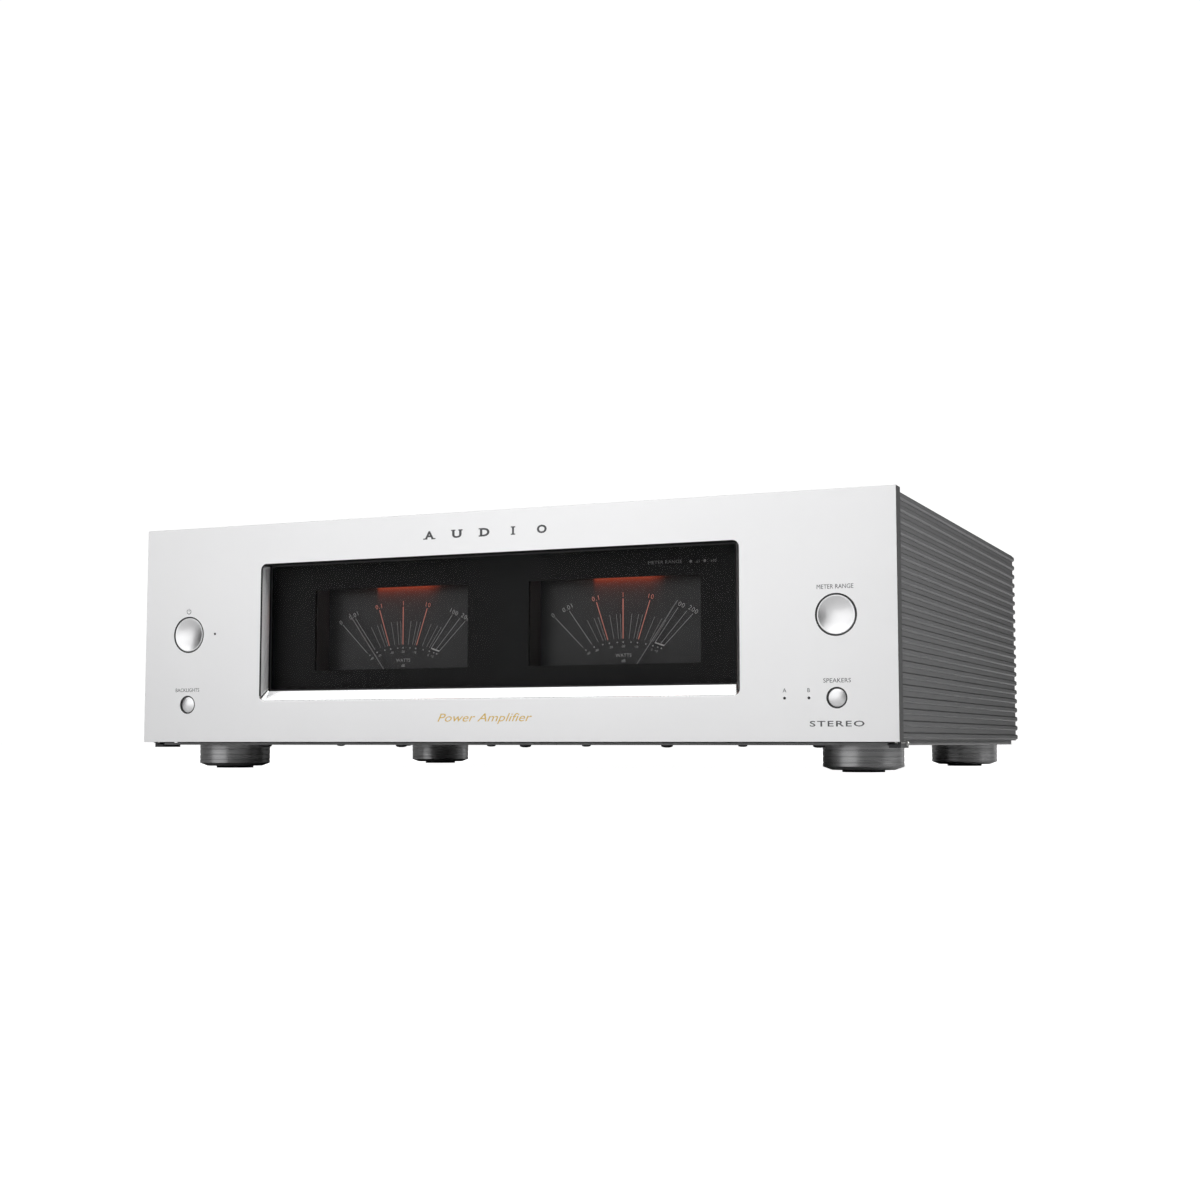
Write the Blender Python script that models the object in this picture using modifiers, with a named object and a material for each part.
"""Stereo power amplifier with two needle meters, built as separate pieces.

Frame: metres, +Z up, the front faces -Y and +X is to the right of somebody who looks at the front.
The origin is on the floor, under the middle of the bounding box.
Most places are given as (x, depth, height): depth runs back from the front plate's face, and height
runs up from the front plate's lower edge.
"""

import math

import bmesh
import bpy
from mathutils import Matrix, Vector

# Overall sizes
PLATE_WIDTH = 0.435
PLATE_HEIGHT = 0.12045
PLATE_THICKNESS = 0.008
PLATE_EDGE = 0.0005
CASE_DEPTH = 0.319
TOTAL_DEPTH = 0.340
FOOT_HEIGHT = 0.0148
GAP = 0.0003

# Sheet metal case
PAN_WIDTH = 0.425
PAN_BOTTOM = -0.00155
PAN_FLANGE_TOP = 0.006
COVER_TOP = 0.1193
COVER_FLANGE_BOTTOM = 0.110
SHEET = 0.0012
CASE_FRONT = PLATE_THICKNESS + GAP
REAR_PANEL_FRONT = 0.3168
REAR_PANEL_BACK = 0.3184
CORNER_NOTCH = 0.0155

# Ribbed side panels
PANEL_INNER_X = 0.2132
PANEL_OUTER_X = 0.2165
PANEL_BOTTOM = 0.001
RIB_COUNT = 21
RIB_WIDTH = 0.0031
RIB_GROOVE = 0.0026
RIB_HEIGHT = 0.0012

# Window and meters
WINDOW_HALF_WIDTH = 0.1391
WINDOW_BOTTOM = 0.0227
WINDOW_TOP = 0.0978
WINDOW_CORNER = 0.003
WINDOW_WALL_DEPTH = 0.006
SILL_RISE = 0.0052
GLASS_HALF_WIDTH = 0.1435
GLASS_BOTTOM = 0.0205
GLASS_TOP = 0.1000
GLASS_THICKNESS = 0.003
MASK_HALF_WIDTH = 0.1445
MASK_BOTTOM = 0.019
MASK_TOP = 0.102
MASK_FACE_DEPTH = 0.0155
MASK_THICKNESS = 0.002
MASK_RIM = 0.003
METER_X = 0.0658
METER_OPENING_INNER = 0.018
METER_OPENING_OUTER = 0.1139
METER_OPENING_BOTTOM = 0.0395
METER_OPENING_TOP = 0.0840
HOUSING_WALL = 0.0018
HOUSING_BOTTOM = 0.0127
HOUSING_TOP = 0.0918
HOUSING_BACK = 0.044
DIAL_DEPTH = 0.0295
DIAL_THICKNESS = 0.0012
PIVOT_HEIGHT = 0.0265
NEEDLE_DEPTH = 0.0255
NEEDLE_LENGTH = 0.055
NEEDLE_REST = {"left": -35.8, "right": 35.0}
MOVEMENT_RADIUS = 0.011
LAMP_LENGTH = 0.040
LAMP_DEPTH = (0.0190, 0.0240)
LAMP_HEIGHT = (0.0862, 0.0896)

# Controls
BUTTON_X = 0.1877
BIG_BUTTON_HEIGHT = 0.0602
SMALL_BUTTON_HEIGHT = 0.02085
BIG_HOLE_RADIUS = 0.0102
SMALL_HOLE_RADIUS = 0.00505
BIG_HOLLOW = 0.0012
SMALL_HOLLOW = 0.0006
BUTTON_CLEARANCE = 0.0004
BUTTON_TRAVEL = 0.0012
SWITCH_FRONT = 0.0150
SWITCH_HALF = 0.0031
HOLE_SPAN = (-0.001, 0.013)
BOARD_X = (0.1555, 0.2040)
BOARD_DEPTH = (0.0203, 0.0219)
BOARD_HEIGHT = (0.0080, 0.0760)
LED_SPAN = (0.0002, 0.0200)
LED_RADIUS = 0.0005
LED_HOLE_RADIUS = 0.00085
LEDS = {
    "standby_led": (-0.1698, 0.0603),
    "speaker_a_led": (0.1620, 0.02085),
    "speaker_b_led": (0.17405, 0.02085),
}

# Feet
FOOT_X = 0.188
FRONT_FOOT_DEPTH = 0.046
REAR_FOOT_DEPTH = 0.291
FOOT_RADIUS = 0.020
PAD_RADIUS = 0.0105
PAD_THICKNESS = 0.0009

# Connectors on the rear
INLET_X = -0.168
INLET_FLANGE_HALF = 0.0155
INLET_FLANGE_HEIGHT = (0.0190, 0.0760)
INLET_BODY_HALF = 0.0138
INLET_BODY_HEIGHT = (0.0215, 0.0735)
INLET_SOCKET_HEIGHT = 0.034
ROCKER_HEIGHT = 0.061
ROCKER_RADIUS = 0.009
ROCKER_TILT = 10.0
TERMINAL_X = {"left": 0.055, "right": -0.055}
TERMINAL_HEIGHT = {"a": 0.080, "b": 0.048}
POST_SPACING = 0.01905
POST_BASE_BACK = REAR_PANEL_BACK + GAP + 0.003
CAP_FRONT = POST_BASE_BACK + 0.0016
CAP_RADIUS = 0.0072
INPUT_X = (0.144, 0.180)
XLR_HEIGHT = 0.078
XLR_RADIUS = 0.0115
RCA_HEIGHT = 0.036
RCA_BASE_RADIUS = 0.0058
TRIGGER_X = 0.116
TRIGGER_RADIUS = 0.0040

FRONT_Y = -TOTAL_DEPTH / 2
SIDES = {"left": -1, "right": 1}

OBJECT_NAME = "power_amplifier"


def clear_scene():
    for obj in list(bpy.data.objects):
        bpy.data.objects.remove(obj)


def new_collection(name):
    collection = bpy.data.collections.new(name)
    bpy.context.scene.collection.children.link(collection)
    return collection


clear_scene()
PARTS = new_collection(OBJECT_NAME)
CUTTERS = new_collection("cutters")


def place(x, depth, height):
    """World position of a point given from the front plate's face and lower edge."""
    return Vector((x, FRONT_Y + depth, FOOT_HEIGHT + height))


def make_material(name, colour, roughness, metallic):
    material = bpy.data.materials.new(name)
    material.use_nodes = True
    shader = material.node_tree.nodes["Principled BSDF"]
    shader.inputs["Base Color"].default_value = (*colour, 1.0)
    shader.inputs["Roughness"].default_value = roughness
    shader.inputs["Metallic"].default_value = metallic
    return material


MATERIALS = {
    "silver": make_material("silver_aluminium", (0.80, 0.80, 0.81), 0.38, 1.0),
    "polished": make_material("polished_aluminium", (0.86, 0.86, 0.87), 0.16, 1.0),
    "gunmetal": make_material("gunmetal_aluminium", (0.13, 0.13, 0.14), 0.42, 1.0),
    "dark_steel": make_material("dark_steel", (0.10, 0.10, 0.105), 0.5, 0.8),
    "zinc": make_material("zinc_steel", (0.62, 0.62, 0.60), 0.35, 1.0),
    "clear": make_material("window_acrylic", (0.10, 0.10, 0.11), 0.05, 0.0),
    "black": make_material("black_plastic", (0.015, 0.015, 0.016), 0.45, 0.0),
    "dial": make_material("dial_face", (0.03, 0.03, 0.032), 0.35, 0.0),
    "needle": make_material("needle_paint", (0.55, 0.55, 0.55), 0.4, 0.0),
    "lamp": make_material("lamp_lens", (0.85, 0.20, 0.06), 0.3, 0.0),
    "rubber": make_material("rubber", (0.012, 0.012, 0.012), 0.8, 0.0),
    "board": make_material("circuit_board", (0.02, 0.12, 0.05), 0.5, 0.0),
    "core": make_material("wound_core", (0.06, 0.05, 0.04), 0.6, 0.2),
    "can": make_material("capacitor_sleeve", (0.03, 0.03, 0.05), 0.35, 0.0),
    "brass": make_material("gilt_brass", (0.80, 0.60, 0.25), 0.25, 1.0),
}


def register(obj, material, smooth_angle=30.0):
    """Makes obj a visible piece with its material, shaded smooth across gentle angles."""
    PARTS.objects.link(obj)
    obj.data.materials.append(MATERIALS[material])
    obj.data.shade_smooth()
    obj.data.set_sharp_from_angle(angle=math.radians(smooth_angle))
    return obj


def guide(obj):
    """Keeps obj out of the model: it only cuts or joins other pieces."""
    CUTTERS.objects.link(obj)
    obj.hide_render = True
    obj.display_type = "WIRE"
    return obj


def mesh_object(name, mesh_tools):
    """New unlinked object whose mesh mesh_tools has filled in."""
    mesh = bpy.data.meshes.new(name)
    mesh_tools.to_mesh(mesh)
    mesh_tools.free()
    return bpy.data.objects.new(name, mesh)


def bevel(obj, width, segments=1, angle=30.0):
    modifier = obj.modifiers.new("edges", "BEVEL")
    modifier.width = width
    modifier.segments = segments
    modifier.limit_method = "ANGLE"
    modifier.angle_limit = math.radians(angle)
    return obj


def block(name, x, depth, height, edge=0.0):
    """Box between two values on each axis, with bevelled edges where edge is given."""
    size = (x[1] - x[0], depth[1] - depth[0], height[1] - height[0])
    tools = bmesh.new()
    bmesh.ops.create_cube(tools, size=1.0, matrix=Matrix.Diagonal((*size, 1.0)))
    obj = mesh_object(name, tools)
    obj.location = place(sum(x) / 2, sum(depth) / 2, sum(height) / 2)
    return bevel(obj, edge) if edge else obj


def rod(name, radius, x, depth, height, segments=32):
    """Cylinder along Y, from the first depth to the second."""
    length = depth[1] - depth[0]
    turn = Matrix.Rotation(math.radians(-90), 4, "X")
    tools = bmesh.new()
    bmesh.ops.create_cone(
        tools,
        cap_ends=True,
        segments=segments,
        radius1=radius,
        radius2=radius,
        depth=length,
        matrix=turn,
    )
    obj = mesh_object(name, tools)
    obj.location = place(x, sum(depth) / 2, height)
    return obj


def upright_rod(name, radius, x, depth, height, segments=32):
    """Cylinder along Z, from the first height to the second."""
    tools = bmesh.new()
    bmesh.ops.create_cone(
        tools,
        cap_ends=True,
        segments=segments,
        radius1=radius,
        radius2=radius,
        depth=height[1] - height[0],
    )
    obj = mesh_object(name, tools)
    obj.location = place(x, depth, sum(height) / 2)
    return obj


def curve_to_mesh(curve_object):
    """The same shape as a closed mesh, in place of the curve."""
    evaluated = curve_object.evaluated_get(bpy.context.evaluated_depsgraph_get())
    mesh = bpy.data.meshes.new_from_object(evaluated)
    tools = bmesh.new()
    tools.from_mesh(mesh)
    bmesh.ops.remove_doubles(tools, verts=tools.verts, dist=0.000001)
    tools.to_mesh(mesh)
    tools.free()
    name, matrix = curve_object.name, curve_object.matrix_world.copy()
    bpy.data.objects.remove(curve_object)
    obj = bpy.data.objects.new(name, mesh)
    obj.matrix_world = matrix
    return obj


def extrusion(name, outline, thickness, matrix):
    """Flat closed outline, thickened by half of thickness to each side, then carried by matrix."""
    curve = bpy.data.curves.new(name, "CURVE")
    curve.dimensions = "2D"
    curve.fill_mode = "BOTH"
    curve.extrude = thickness / 2
    spline = curve.splines.new("POLY")
    spline.points.add(len(outline) - 1)
    for point, (u, v) in zip(spline.points, outline):
        point.co = (u, v, 0.0, 1.0)
    spline.use_cyclic_u = True
    obj = bpy.data.objects.new(name, curve)
    bpy.context.scene.collection.objects.link(obj)
    obj.matrix_world = matrix
    bpy.context.view_layer.update()
    return curve_to_mesh(obj)


def front_outline(name, outline, depth):
    """Extrusion along Y of an outline given as (x, height) points."""
    middle = place(0, sum(depth) / 2, 0)
    matrix = Matrix.Translation(middle) @ Matrix.Rotation(math.radians(90), 4, "X")
    return extrusion(name, outline, depth[1] - depth[0], matrix)


def plan_outline(name, outline, height):
    """Extrusion along Z of an outline given as (x, depth) points."""
    matrix = Matrix.Translation(place(0, 0, sum(height) / 2))
    return extrusion(name, outline, height[1] - height[0], matrix)


def arc(centre, radius, start, end, steps):
    """Points on an arc, angles in degrees, both ends included."""
    points = []
    for step in range(steps + 1):
        angle = math.radians(start + (end - start) * step / steps)
        points.append((centre[0] + radius * math.cos(angle), centre[1] + radius * math.sin(angle)))
    return points


def rounded_rectangle(u, v, radius, steps=3):
    """Outline between two values on each axis, with round corners, anticlockwise."""
    corners = (
        ((u[1] - radius, v[0] + radius), -90),
        ((u[1] - radius, v[1] - radius), 0),
        ((u[0] + radius, v[1] - radius), 90),
        ((u[0] + radius, v[0] + radius), 180),
    )
    outline = []
    for centre, start in corners:
        outline += arc(centre, radius, start, start + 90, steps)
    return outline


def turned(name, profile, steps, closed=False):
    """Solid of revolution about the object's own Z: profile is (radius, z) down the outer side."""
    tools = bmesh.new()
    points = [tools.verts.new((radius, 0.0, z)) for radius, z in profile]
    followers = points[1:] + points[:1] if closed else points[1:]
    for first, second in zip(points, followers):
        tools.edges.new((first, second))
    obj = mesh_object(name, tools)
    screw = obj.modifiers.new("turn", "SCREW")
    screw.axis = "Z"
    screw.steps = steps
    screw.render_steps = steps
    screw.use_merge_vertices = True
    screw.merge_threshold = 0.000005
    return obj


def facing_front(obj, x, depth, height):
    """Turns an object's own +Z to point out of the front, with its origin at the given place."""
    obj.rotation_euler = (math.radians(90), 0.0, 0.0)
    obj.location = place(x, depth, height)
    return obj


def boolean(target, other, operation):
    modifier = target.modifiers.new(other.name, "BOOLEAN")
    modifier.operation = operation
    modifier.solver = "EXACT"
    modifier.object = other
    return target


def cut(target, *cutters):
    for cutter in cutters:
        boolean(target, guide(cutter), "DIFFERENCE")
    return target


def join(target, *others):
    for other in others:
        boolean(target, guide(other), "UNION")
    return target


def repeat(obj, offset, count):
    """Copies along a world step, as separate closed shapes, for cutters and combs."""
    modifier = obj.modifiers.new("row", "ARRAY")
    modifier.use_relative_offset = False
    modifier.use_constant_offset = True
    modifier.constant_offset_displace = offset
    modifier.count = count
    return obj


# ---------------------------------------------------------------- front plate and window


def window_cutter():
    """Window hole whose lower side slopes up towards the back, as a polished sill."""
    rim = rounded_rectangle(
        (-WINDOW_HALF_WIDTH, WINDOW_HALF_WIDTH), (WINDOW_BOTTOM, WINDOW_TOP), WINDOW_CORNER
    )
    front, back = -0.001, WINDOW_WALL_DEPTH + 0.0005
    cutter = front_outline("window_hole", rim, (front, back))
    middle_z = (WINDOW_BOTTOM + WINDOW_TOP) / 2
    slope = SILL_RISE / WINDOW_WALL_DEPTH
    for vertex in cutter.data.vertices:
        at_back = vertex.co.z < 0
        if vertex.co.y < middle_z:
            vertex.co.y += slope * (back if at_back else front)
    return cutter


def button_holes(prefix, extra, big_segments, small_segments):
    """Round cutters for the four buttons and three lights, their radius larger by extra."""
    holes = []
    for side, sign in SIDES.items():
        for size, height, radius, segments in (
            ("big", BIG_BUTTON_HEIGHT, BIG_HOLE_RADIUS, big_segments),
            ("small", SMALL_BUTTON_HEIGHT, SMALL_HOLE_RADIUS, small_segments),
        ):
            name = f"{prefix}_{size}_{side}"
            holes.append(rod(name, radius + extra, sign * BUTTON_X, HOLE_SPAN, height, segments))
    for led, (x, height) in LEDS.items():
        holes.append(rod(f"{prefix}_{led}", LED_HOLE_RADIUS + extra, x, HOLE_SPAN, height, 12))
    return holes


def make_front_plate():
    half = PLATE_WIDTH / 2
    plate = block(
        "front_plate", (-half, half), (0.0, PLATE_THICKNESS), (0.0, PLATE_HEIGHT), PLATE_EDGE
    )
    pocket = block(
        "glass_pocket",
        (-GLASS_HALF_WIDTH - GAP, GLASS_HALF_WIDTH + GAP),
        (WINDOW_WALL_DEPTH, PLATE_THICKNESS + 0.002),
        (GLASS_BOTTOM - GAP, GLASS_TOP + GAP),
    )
    cut(plate, window_cutter(), pocket, *button_holes("plate_hole", 0.0, 64, 40))
    register(plate, "silver")


def make_window_glass():
    front = WINDOW_WALL_DEPTH + GAP
    glass = block(
        "window_glass",
        (-GLASS_HALF_WIDTH, GLASS_HALF_WIDTH),
        (front, front + GLASS_THICKNESS),
        (GLASS_BOTTOM, GLASS_TOP),
        0.0002,
    )
    register(glass, "clear")


def make_front_subchassis():
    """Steel frame behind the front plate, which carries the meters and the control boards."""
    half = PAN_WIDTH / 2 - SHEET - 0.0004
    depth = (CASE_FRONT, CASE_FRONT + 0.0015)
    frame = block("front_subchassis", (-half, half), depth, (0.0005, 0.1170))
    clearance = 0.002
    opening = block(
        "subchassis_window",
        (-MASK_HALF_WIDTH - clearance, MASK_HALF_WIDTH + clearance),
        (depth[0] - 0.003, depth[1] + 0.003),
        (MASK_BOTTOM - clearance, MASK_TOP + clearance),
    )
    cut(frame, opening, *button_holes("subchassis_hole", 0.0008, 24, 16))
    register(frame, "zinc")


def meter_openings(prefix, depth, bottom, top):
    """One cutter behind each meter opening, between the given depths and heights."""
    cutters = []
    for side, sign in SIDES.items():
        edges = sorted((sign * METER_OPENING_INNER, sign * METER_OPENING_OUTER))
        cutters.append(block(f"{prefix}_{side}", edges, depth, (bottom, top)))
    return cutters


def make_meter_mask():
    """Black tray behind the glass, with an opening for each meter."""
    front = WINDOW_WALL_DEPTH + GAP + GLASS_THICKNESS + GAP
    back = MASK_FACE_DEPTH + MASK_THICKNESS
    mask = block(
        "meter_mask", (-MASK_HALF_WIDTH, MASK_HALF_WIDTH), (front, back), (MASK_BOTTOM, MASK_TOP), 0.0003
    )
    well = block(
        "mask_well",
        (-MASK_HALF_WIDTH + MASK_RIM, MASK_HALF_WIDTH - MASK_RIM),
        (front - 0.001, MASK_FACE_DEPTH),
        (MASK_BOTTOM + MASK_RIM, MASK_TOP - MASK_RIM),
    )
    through = (MASK_FACE_DEPTH - 0.001, back + 0.001)
    cut(mask, well, *meter_openings("mask_opening", through, METER_OPENING_BOTTOM, METER_OPENING_TOP))
    register(mask, "black")


def make_meter(side, sign):
    """Housing, dial, needle, movement and lamp of one meter."""
    centre = sign * METER_X
    front = MASK_FACE_DEPTH + MASK_THICKNESS + GAP
    inner = sorted((sign * METER_OPENING_INNER, sign * METER_OPENING_OUTER))
    outer = (inner[0] - HOUSING_WALL, inner[1] + HOUSING_WALL)
    housing = block(
        f"meter_housing_{side}", outer, (front, HOUSING_BACK), (HOUSING_BOTTOM, HOUSING_TOP), 0.0004
    )
    floor = HOUSING_BOTTOM + HOUSING_WALL
    ceiling = HOUSING_TOP - HOUSING_WALL
    cavity = block(
        f"housing_cavity_{side}", inner, (front - 0.001, HOUSING_BACK - HOUSING_WALL), (floor, ceiling)
    )
    cut(housing, cavity)
    register(housing, "black")

    dial = block(
        f"dial_{side}",
        (inner[0] + GAP, inner[1] - GAP),
        (DIAL_DEPTH, DIAL_DEPTH + DIAL_THICKNESS),
        (floor + GAP, ceiling - GAP),
    )
    hole_span = (DIAL_DEPTH - 0.001, DIAL_DEPTH + DIAL_THICKNESS + 0.001)
    cut(dial, rod(f"dial_hole_{side}", 0.0030, centre, hole_span, PIVOT_HEIGHT, 24))
    register(dial, "dial")

    movement_front = DIAL_DEPTH + DIAL_THICKNESS + GAP
    movement_back = HOUSING_BACK - HOUSING_WALL - GAP
    movement_span = (movement_front, movement_back)
    movement = rod(
        f"meter_movement_{side}", MOVEMENT_RADIUS, centre, movement_span, PIVOT_HEIGHT, 24
    )
    bevel(movement, 0.0006)
    bore_end = movement_back - 0.003
    bore_span = (movement_front - 0.001, bore_end)
    cut(movement, rod(f"movement_bore_{side}", 0.0012, centre, bore_span, PIVOT_HEIGHT, 12))
    register(movement, "zinc")

    make_needle(side, centre, bore_end - 0.001)

    lamp = block(
        f"meter_lamp_{side}",
        (centre - LAMP_LENGTH / 2, centre + LAMP_LENGTH / 2),
        LAMP_DEPTH,
        LAMP_HEIGHT,
        0.0004,
    )
    register(lamp, "lamp")


def make_needle(side, centre, shaft_back):
    """Pointer with hub, counterweight and shaft, one solid, its origin on the pivot's axis."""
    pivot = place(centre, NEEDLE_DEPTH, PIVOT_HEIGHT)
    hub_span = (NEEDLE_DEPTH - 0.0012, NEEDLE_DEPTH + 0.0012)
    hub = rod(f"needle_{side}", 0.0022, centre, hub_span, PIVOT_HEIGHT, 20)
    shaft_span = (NEEDLE_DEPTH, shaft_back)
    shaft = rod(f"needle_shaft_{side}", 0.0008, centre, shaft_span, PIVOT_HEIGHT, 10)
    pointer = block(
        f"needle_pointer_{side}",
        (centre - 0.00022, centre + 0.00022),
        (NEEDLE_DEPTH - 0.0002, NEEDLE_DEPTH + 0.0002),
        (PIVOT_HEIGHT - 0.0060, PIVOT_HEIGHT + NEEDLE_LENGTH),
    )
    weight = block(
        f"needle_weight_{side}",
        (centre - 0.0011, centre + 0.0011),
        (NEEDLE_DEPTH - 0.0006, NEEDLE_DEPTH + 0.0006),
        (PIVOT_HEIGHT - 0.0078, PIVOT_HEIGHT - 0.0052),
    )
    lean = Matrix.Translation(pivot)
    lean = lean @ Matrix.Rotation(math.radians(NEEDLE_REST[side]), 4, "Y")
    lean = lean @ Matrix.Translation(-pivot)
    for arm in (pointer, weight):
        bpy.context.view_layer.update()
        arm.matrix_world = lean @ Matrix.Translation(arm.location)
    join(hub, shaft, pointer, weight)
    register(hub, "needle")


# ---------------------------------------------------------------- controls


def make_button(name, x, height, hole_radius, hollow, steps):
    """Dished aluminium push button with a stem that reaches its switch."""
    radius = hole_radius - BUTTON_CLEARANCE
    lip = 0.0004
    stem_radius = 0.0022
    stem_end = SWITCH_FRONT - GAP - BUTTON_TRAVEL
    body_end = 0.0076
    rings = 3
    profile = []
    for ring in range(rings + 1):
        share = ring / rings
        profile.append(((radius - lip) * share, -hollow * (1 - share * share)))
    profile += [(radius, -lip), (radius, -body_end)]
    profile += [(stem_radius, -body_end), (stem_radius, -stem_end), (0.0, -stem_end)]
    button = facing_front(turned(name, profile, steps), x, 0.0, height)
    register(button, "polished", 25.0)


def make_controls():
    """Two large dished buttons, two smaller ones under them, and three pin-sized lights."""
    big = (BIG_BUTTON_HEIGHT, BIG_HOLE_RADIUS, BIG_HOLLOW, 36)
    small = (SMALL_BUTTON_HEIGHT, SMALL_HOLE_RADIUS, SMALL_HOLLOW, 24)
    make_button("standby_button", -BUTTON_X, *big)
    make_button("meter_range_button", BUTTON_X, *big)
    make_button("backlight_button", -BUTTON_X, *small)
    make_button("speaker_button", BUTTON_X, *small)
    for name, (x, height) in LEDS.items():
        register(rod(name, LED_RADIUS, x, LED_SPAN, height, 12), "clear")


def make_control_board(side, sign):
    """Circuit board behind one end of the front plate, with the two buttons' switches on it."""
    edges = sorted(sign * x for x in BOARD_X)
    board = block(f"control_board_{side}", edges, BOARD_DEPTH, BOARD_HEIGHT)
    plunger_length = 0.0020
    base_front = SWITCH_FRONT + plunger_length - 0.0004
    x = sign * BUTTON_X
    for number, height in enumerate((BIG_BUTTON_HEIGHT, SMALL_BUTTON_HEIGHT)):
        base = block(
            f"switch_{side}_{number}",
            (x - SWITCH_HALF, x + SWITCH_HALF),
            (base_front, BOARD_DEPTH[0] + 0.0002),
            (height - SWITCH_HALF, height + SWITCH_HALF),
        )
        plunger_span = (SWITCH_FRONT, SWITCH_FRONT + plunger_length)
        plunger = rod(f"plunger_{side}_{number}", 0.0017, x, plunger_span, height, 16)
        join(board, base, plunger)
    register(board, "board")


# ---------------------------------------------------------------- case


def channel(half_width, flat, flange_end):
    """Outline of a sheet folded at both sides: flat is the outer face, flange_end the flanges' ends."""
    inward = SHEET if flange_end > flat else -SHEET
    return [
        (-half_width, flange_end),
        (-half_width, flat),
        (half_width, flat),
        (half_width, flange_end),
        (half_width - SHEET, flange_end),
        (half_width - SHEET, flat + inward),
        (-half_width + SHEET, flat + inward),
        (-half_width + SHEET, flange_end),
    ]


def vent_slots(prefix, height, first_depth, pitch, count):
    """One row of slots above or below each heat sink."""
    slot_width = 0.0040
    cutters = []
    for side, sign in SIDES.items():
        edges = sorted((sign * 0.1500, sign * 0.2000))
        outline = rounded_rectangle(edges, (first_depth, first_depth + slot_width), 0.0015, 1)
        slot = plan_outline(f"{prefix}_{side}", outline, height)
        cutters.append(repeat(slot, (0.0, pitch, 0.0), count))
    return cutters


def make_bottom_pan():
    outline = channel(PAN_WIDTH / 2, PAN_BOTTOM, PAN_FLANGE_TOP)
    pan = front_outline("bottom_pan", outline, (CASE_FRONT, REAR_PANEL_FRONT - GAP))
    notches = []
    for side, sign in SIDES.items():
        edges = sorted((sign * (PAN_WIDTH / 2 - 0.0030), sign * (PAN_WIDTH / 2 + 0.002)))
        notches.append(
            block(f"pan_notch_{side}", edges, (0.0, CASE_FRONT + CORNER_NOTCH), (-0.01, 0.01))
        )
    cut(pan, *notches, *vent_slots("pan_slot", (-0.004, 0.002), 0.0800, 0.0230, 8))
    register(pan, "dark_steel")


def make_top_cover():
    outline = channel(PANEL_INNER_X - GAP, COVER_TOP, COVER_FLANGE_BOTTOM)
    cover = front_outline("top_cover", outline, (CASE_FRONT, CASE_DEPTH))
    cut(cover, *vent_slots("cover_slot", (COVER_TOP - 0.004, COVER_TOP + 0.002), 0.0640, 0.0115, 20))
    register(cover, "gunmetal")


def make_side_panel(side, sign):
    """Extruded panel with level ribs along its whole depth."""
    base_x = PANEL_OUTER_X - RIB_HEIGHT
    ribs = RIB_COUNT * RIB_WIDTH + (RIB_COUNT - 1) * RIB_GROOVE
    margin = (COVER_TOP - PANEL_BOTTOM - ribs) / 2
    corner = 0.0007
    outline = [(sign * PANEL_INNER_X, PANEL_BOTTOM), (sign * base_x, PANEL_BOTTOM)]
    for number in range(RIB_COUNT):
        low = PANEL_BOTTOM + margin + number * (RIB_WIDTH + RIB_GROOVE)
        high = low + RIB_WIDTH
        outline.append((sign * base_x, low))
        tip = arc((PANEL_OUTER_X - corner, low + corner), corner, -90, 0, 1)
        tip += arc((PANEL_OUTER_X - corner, high - corner), corner, 0, 90, 1)
        outline += [(sign * x, z) for x, z in tip]
        outline.append((sign * base_x, high))
    outline += [(sign * base_x, COVER_TOP), (sign * PANEL_INNER_X, COVER_TOP)]
    register(front_outline(f"side_panel_{side}", outline, (CASE_FRONT, CASE_DEPTH)), "gunmetal")


def make_corner_bracket(side, sign):
    """Small angle under the front corner that ties the front plate to the pan."""
    inner, outer, thickness = 0.2102, 0.2160, 0.0016
    bottom, top = -0.0028, 0.0006
    outline = [
        (sign * inner, bottom),
        (sign * outer, bottom),
        (sign * outer, top),
        (sign * (outer - thickness), top),
        (sign * (outer - thickness), bottom + thickness),
        (sign * inner, bottom + thickness),
    ]
    depth = (CASE_FRONT, CASE_FRONT + CORNER_NOTCH - GAP)
    register(front_outline(f"corner_bracket_{side}", outline, depth), "zinc")


def make_foot(name, x, depth):
    """Turned aluminium foot with a chamfered base, and the rubber pad in its underside."""
    top = PAN_BOTTOM - GAP
    bottom = -FOOT_HEIGHT + PAD_THICKNESS + 0.0002
    chamfer_top = -0.0118
    chamfer_radius = 0.0156
    recess = bottom + 0.0008
    profile = [(0.0, top), (FOOT_RADIUS, top), (FOOT_RADIUS, chamfer_top)]
    profile += [(chamfer_radius, bottom), (PAD_RADIUS + GAP, bottom)]
    profile += [(PAD_RADIUS + GAP, recess), (0.0, recess)]
    foot = turned(f"foot_{name}", profile, 32)
    foot.location = place(x, depth, 0.0)
    register(foot, "gunmetal")

    pad = upright_rod(f"foot_pad_{name}", PAD_RADIUS, x, depth, (-FOOT_HEIGHT, recess - GAP), 28)
    register(pad, "rubber")


def make_case():
    make_bottom_pan()
    make_top_cover()
    for side, sign in SIDES.items():
        make_side_panel(side, sign)
        make_corner_bracket(side, sign)
        make_foot(f"front_{side}", sign * FOOT_X, FRONT_FOOT_DEPTH)
        make_foot(f"rear_{side}", sign * FOOT_X, REAR_FOOT_DEPTH)


# ---------------------------------------------------------------- inside the case


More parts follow.
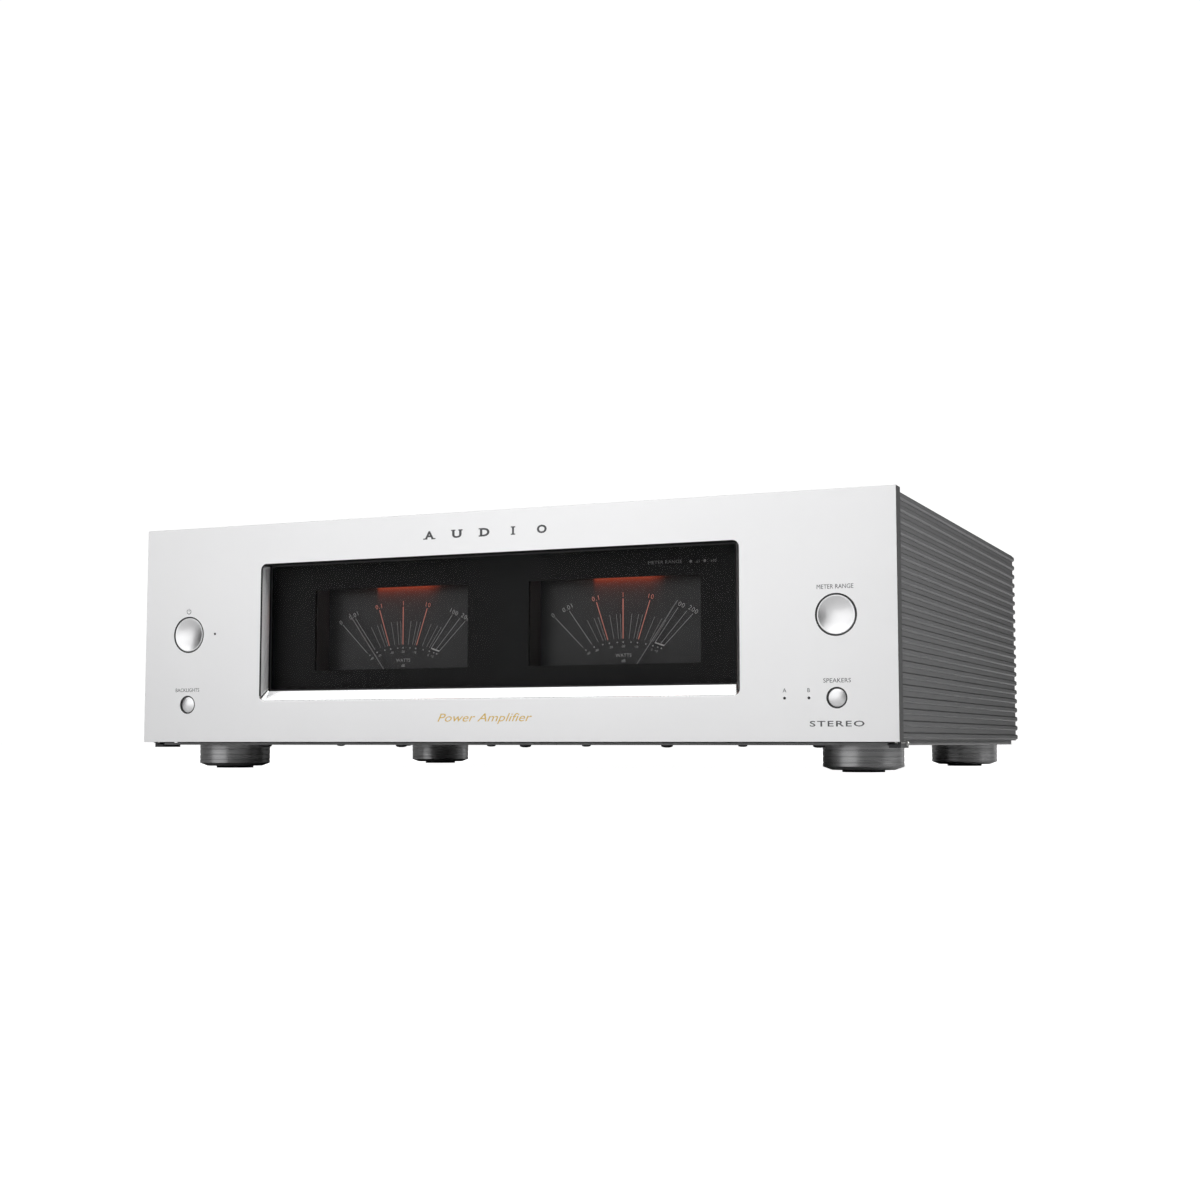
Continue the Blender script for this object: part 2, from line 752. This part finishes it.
def make_heat_sink(side, sign):
    """Finned aluminium extrusion that stands beside the ribbed panel, with upright fins."""
    base_inner, base_outer, fin_tip = 0.1500, 0.1560, 0.1990
    margin, first, pitch, fin_thickness, count = 0.0020, 0.0620, 0.0130, 0.0022, 18
    height = (0.0030, 0.1000)
    last = first + pitch * (count - 1) + fin_thickness
    base_ends = (first - margin, last + margin)
    outline = [(base_outer, base_ends[0]), (base_inner, base_ends[0])]
    outline += [(base_inner, base_ends[1]), (base_outer, base_ends[1])]
    for number in reversed(range(count)):
        near = first + pitch * number
        far = near + fin_thickness
        outline += [(base_outer, far), (fin_tip, far), (fin_tip, near), (base_outer, near)]
    outline = [(sign * x, depth) for x, depth in outline]
    register(plan_outline(f"heat_sink_{side}", outline, height), "gunmetal")


def make_amp_board(side, sign):
    """Output stage board on the heat sink's flat face, with four output transistors."""
    inner, outer = 0.1480, 0.1496
    edges = sorted((sign * inner, sign * outer))
    board = block(f"amp_board_{side}", edges, (0.0700, 0.2750), (0.0080, 0.0950))
    first, pitch, half = 0.0950, 0.0450, 0.0080
    body_edges = sorted((sign * 0.1430, sign * (inner + 0.0003)))
    for number in range(4):
        depth = first + pitch * number
        body_depth = (depth - half, depth + half)
        join(board, block(f"transistor_{side}_{number}", body_edges, body_depth, (0.0280, 0.0480)))
    register(board, "board")


def make_power_supply():
    """Toroidal transformer with its clamp, two reservoir capacitors and their board."""
    floor = PAN_BOTTOM + SHEET + GAP
    centre_depth = 0.1250
    outer_radius, hole_radius, top = 0.0720, 0.0200, 0.0700
    corner = 0.0100
    outer = arc((outer_radius - corner, top - corner), corner, 90, 0, 3)
    outer += arc((outer_radius - corner, floor + corner), corner, 0, -90, 3)
    inner = arc((hole_radius + corner, floor + corner), corner, -90, -180, 2)
    inner += arc((hole_radius + corner, top - corner), corner, 180, 90, 2)
    transformer = turned("transformer", outer + inner, 30, closed=True)
    transformer.location = place(0.0, centre_depth, 0.0)
    register(transformer, "core")

    plate_bottom = top + GAP
    plate_top = plate_bottom + 0.0020
    clamp = upright_rod("transformer_clamp", 0.0300, 0.0, centre_depth, (plate_bottom, plate_top), 32)
    bolt = upright_rod("clamp_bolt", 0.0040, 0.0, centre_depth, (floor, plate_top - 0.0010), 16)
    head_span = (plate_top - 0.0010, plate_top + 0.0060)
    head = upright_rod("clamp_nut", 0.0070, 0.0, centre_depth, head_span, 6)
    join(clamp, bolt, head)
    register(clamp, "zinc")

    board_half, board_middle, board_reach = 0.0900, 0.2500, 0.0400
    board_bottom, board_top = 0.0080, 0.0096
    board_depth = (board_middle - board_reach, board_middle + board_reach)
    board = block("power_supply_board", (-board_half, board_half), board_depth, (board_bottom, board_top))
    margin = 0.0060
    standoff_height = (floor, board_bottom + 0.0003)
    for side, sign in SIDES.items():
        x = sign * (board_half - margin)
        for row, depth in enumerate((board_depth[0] + margin, board_depth[1] - margin)):
            join(board, upright_rod(f"standoff_{side}_{row}", 0.0030, x, depth, standoff_height, 12))
    register(board, "board")

    can_radius, can_x, can_height = 0.0255, 0.0320, (board_top + GAP, 0.0980)
    for side, sign in SIDES.items():
        can = upright_rod(f"capacitor_{side}", can_radius, sign * can_x, board_middle, can_height, 32)
        register(bevel(can, 0.0015), "can")


# ---------------------------------------------------------------- rear


def socket_pins():
    """The three blades inside the mains socket, the middle one higher."""
    pins = []
    pitch, lift, half_width, half_height = 0.0070, 0.0020, 0.0010, 0.0020
    for number, step in enumerate((-1, 0, 1)):
        x = INLET_X + step * pitch
        height = INLET_SOCKET_HEIGHT + (lift if step == 0 else -lift)
        pins.append(
            block(
                f"mains_blade_{number}",
                (x - half_width, x + half_width),
                (REAR_PANEL_BACK - 0.0150, REAR_PANEL_BACK - 0.0030),
                (height - half_height, height + half_height),
            )
        )
    return pins


def make_power_inlet():
    """Mains socket and rocker frame in one moulding that clips into the rear panel."""
    flange_back = REAR_PANEL_BACK + GAP + 0.0025
    inlet = block(
        "power_inlet",
        (INLET_X - INLET_FLANGE_HALF, INLET_X + INLET_FLANGE_HALF),
        (REAR_PANEL_BACK + GAP, flange_back),
        INLET_FLANGE_HEIGHT,
        0.0008,
    )
    body = block(
        "inlet_body",
        (INLET_X - INLET_BODY_HALF, INLET_X + INLET_BODY_HALF),
        (REAR_PANEL_BACK - 0.0180, flange_back - 0.0010),
        INLET_BODY_HEIGHT,
    )
    join(inlet, body)
    socket = block(
        "socket_cavity",
        (INLET_X - 0.0122, INLET_X + 0.0122),
        (REAR_PANEL_BACK - 0.0140, flange_back + 0.0010),
        (INLET_SOCKET_HEIGHT - 0.0083, INLET_SOCKET_HEIGHT + 0.0083),
    )
    rocker_cavity = block(
        "rocker_cavity",
        (INLET_X - 0.0070, INLET_X + 0.0070),
        (REAR_PANEL_BACK - 0.0110, flange_back + 0.0010),
        (ROCKER_HEIGHT - ROCKER_RADIUS - 0.0004, ROCKER_HEIGHT + ROCKER_RADIUS + 0.0004),
    )
    cut(inlet, socket, rocker_cavity)
    join(inlet, *socket_pins())
    register(inlet, "black")


def make_power_rocker():
    """Rocker with a shallow V face, its origin on the hinge line, tilted to the ON side at rest."""
    spread, tip, valley, width = 65, 0.0032, 0.0012, 0.0128
    outline = arc((0.0, 0.0), ROCKER_RADIUS, 180 - spread, 180 + spread, 12)
    reach = ROCKER_RADIUS * math.sin(math.radians(spread))
    outline += [(tip, -reach), (valley, 0.0), (tip, reach)]
    middle = Matrix.Translation(place(INLET_X, REAR_PANEL_BACK - 0.0010, ROCKER_HEIGHT))
    outline_to_side = Matrix(((0, 0, 1, 0), (1, 0, 0, 0), (0, 1, 0, 0), (0, 0, 0, 1)))
    tilt = Matrix.Rotation(math.radians(ROCKER_TILT), 4, "X")
    rocker = extrusion("power_rocker", outline, width, middle @ tilt @ outline_to_side)
    register(rocker, "black")


def make_speaker_terminals(side):
    """Terminal block of one channel with two pairs of binding posts, and their turning caps."""
    centre = TERMINAL_X[side]
    heights = TERMINAL_HEIGHT.values()
    half, margin = 0.0225, 0.0130
    base = block(
        f"speaker_terminals_{side}",
        (centre - half, centre + half),
        (REAR_PANEL_BACK + GAP, POST_BASE_BACK),
        (min(heights) - margin, max(heights) + margin),
        0.0008,
    )
    for row, height in TERMINAL_HEIGHT.items():
        for pole, sign in (("minus", -1), ("plus", 1)):
            x = centre + sign * POST_SPACING / 2
            name = f"{side}_{row}_{pole}"
            collar_span = (POST_BASE_BACK - 0.0010, CAP_FRONT - GAP)
            collar = rod(f"post_collar_{name}", 0.0060, x, collar_span, height, 16)
            shaft_span = (CAP_FRONT - 0.0010, CAP_FRONT + 0.0090)
            shaft = rod(f"post_shaft_{name}", 0.0030, x, shaft_span, height, 10)
            join(base, collar, shaft)
            make_binding_cap(f"binding_cap_{name}", x, height)
    register(base, "black")


def make_binding_cap(name, x, height):
    """Knurled cap: its bore turns on the post, and a 4 mm hole in its end takes a banana plug."""
    flutes = 10
    flute_depth = 0.0006
    end = TOTAL_DEPTH
    outline = []
    for number in range(flutes):
        for share, radius in ((0.0, CAP_RADIUS), (0.5, CAP_RADIUS - flute_depth)):
            angle = 2 * math.pi * (number + share) / flutes
            outline.append((radius * math.cos(angle), radius * math.sin(angle)))
    middle = place(x, (CAP_FRONT + end) / 2, height)
    matrix = Matrix.Translation(middle) @ Matrix.Rotation(math.radians(90), 4, "X")
    cap = extrusion(name, outline, end - CAP_FRONT, matrix)
    bore = rod(f"{name}_bore", 0.0034, x, (CAP_FRONT - 0.001, CAP_FRONT + 0.0100), height, 10)
    plug_hole = rod(f"{name}_plug_hole", 0.0020, x, (CAP_FRONT + 0.0090, end + 0.001), height, 8)
    cut(cap, bore, plug_hole)
    register(cap, "brass")


def make_input_sockets():
    """Input board behind the rear panel with balanced and unbalanced sockets and a trigger jack."""
    board_front, board_back = REAR_PANEL_FRONT - 0.0120, REAR_PANEL_FRONT - 0.0100
    board = block("input_sockets", (0.1080, 0.2000), (board_front, board_back), (0.0180, 0.0960))
    start = board_back - 0.0003
    well, mouth = REAR_PANEL_BACK - 0.0060, REAR_PANEL_BACK + 0.0030
    barrel_end = REAR_PANEL_BACK + 0.0095
    trigger_end = REAR_PANEL_BACK + 0.0015
    spare = 0.0010
    pin_circle = 0.0040
    holes = []
    for number, x in enumerate(INPUT_X):
        shell_span = (start, REAR_PANEL_BACK + 0.0020)
        base_span = (start, REAR_PANEL_BACK + 0.0012)
        shell = rod(f"balanced_shell_{number}", XLR_RADIUS, x, shell_span, XLR_HEIGHT, 24)
        base = rod(f"phono_base_{number}", RCA_BASE_RADIUS, x, base_span, RCA_HEIGHT, 6)
        barrel = rod(f"phono_barrel_{number}", 0.0042, x, (start, barrel_end), RCA_HEIGHT, 16)
        join(board, shell, base, barrel)
        bore_span = (REAR_PANEL_BACK, barrel_end + spare)
        holes.append(rod(f"phono_hole_{number}", 0.0016, x, bore_span, RCA_HEIGHT, 12))
        ring = rod(f"balanced_well_{number}", 0.0092, x, (well, mouth), XLR_HEIGHT, 20)
        core = rod(f"balanced_core_{number}", 0.0074, x, (well - spare, mouth + spare), XLR_HEIGHT, 20)
        holes.append(cut(ring, core))
        for pin, angle in enumerate((90, 210, 330)):
            pin_x = x + pin_circle * math.cos(math.radians(angle))
            pin_height = XLR_HEIGHT + pin_circle * math.sin(math.radians(angle))
            name = f"balanced_pin_{number}_{pin}"
            holes.append(rod(name, 0.0012, pin_x, (well, mouth), pin_height, 6))
    trigger = rod("trigger_barrel", TRIGGER_RADIUS, TRIGGER_X, (start, trigger_end), RCA_HEIGHT, 20)
    join(board, trigger)
    trigger_bore = (REAR_PANEL_BACK - 0.0080, trigger_end + spare)
    holes.append(rod("trigger_hole", 0.0018, TRIGGER_X, trigger_bore, RCA_HEIGHT, 12))
    cut(board, *holes)
    register(board, "black")


def make_rear_panel():
    half = PAN_WIDTH / 2
    top = COVER_TOP - SHEET - GAP
    panel = block("rear_panel", (-half, half), (REAR_PANEL_FRONT, REAR_PANEL_BACK), (PAN_BOTTOM, top))
    spare = 0.0010
    through = (REAR_PANEL_FRONT - spare, REAR_PANEL_BACK + spare)
    slack = 0.0004
    low, high = INLET_BODY_HEIGHT
    holes = [
        block(
            "inlet_cutout",
            (INLET_X - INLET_BODY_HALF - slack, INLET_X + INLET_BODY_HALF + slack),
            through,
            (low - slack, high + slack),
        )
    ]
    flange_inner = PANEL_INNER_X - GAP - SHEET - GAP
    notch_height = (COVER_FLANGE_BOTTOM - GAP, 0.1250)
    for side, sign in SIDES.items():
        edges = sorted((sign * flange_inner, sign * (half + spare)))
        holes.append(block(f"flange_notch_{side}", edges, through, notch_height))
    for number, x in enumerate(INPUT_X):
        holes.append(rod(f"balanced_cutout_{number}", XLR_RADIUS + slack, x, through, XLR_HEIGHT, 32))
        holes.append(rod(f"phono_cutout_{number}", RCA_BASE_RADIUS + slack, x, through, RCA_HEIGHT, 20))
    holes.append(rod("trigger_cutout", TRIGGER_RADIUS + slack, TRIGGER_X, through, RCA_HEIGHT, 20))
    cut(panel, *holes)
    register(panel, "dark_steel")


def main():
    make_front_plate()
    make_window_glass()
    make_front_subchassis()
    make_meter_mask()
    for side, sign in SIDES.items():
        make_meter(side, sign)
        make_control_board(side, sign)
        make_heat_sink(side, sign)
        make_amp_board(side, sign)
    make_controls()
    make_case()
    make_power_supply()
    make_rear_panel()
    make_power_inlet()
    make_power_rocker()
    for side in SIDES:
        make_speaker_terminals(side)
    make_input_sockets()


main()
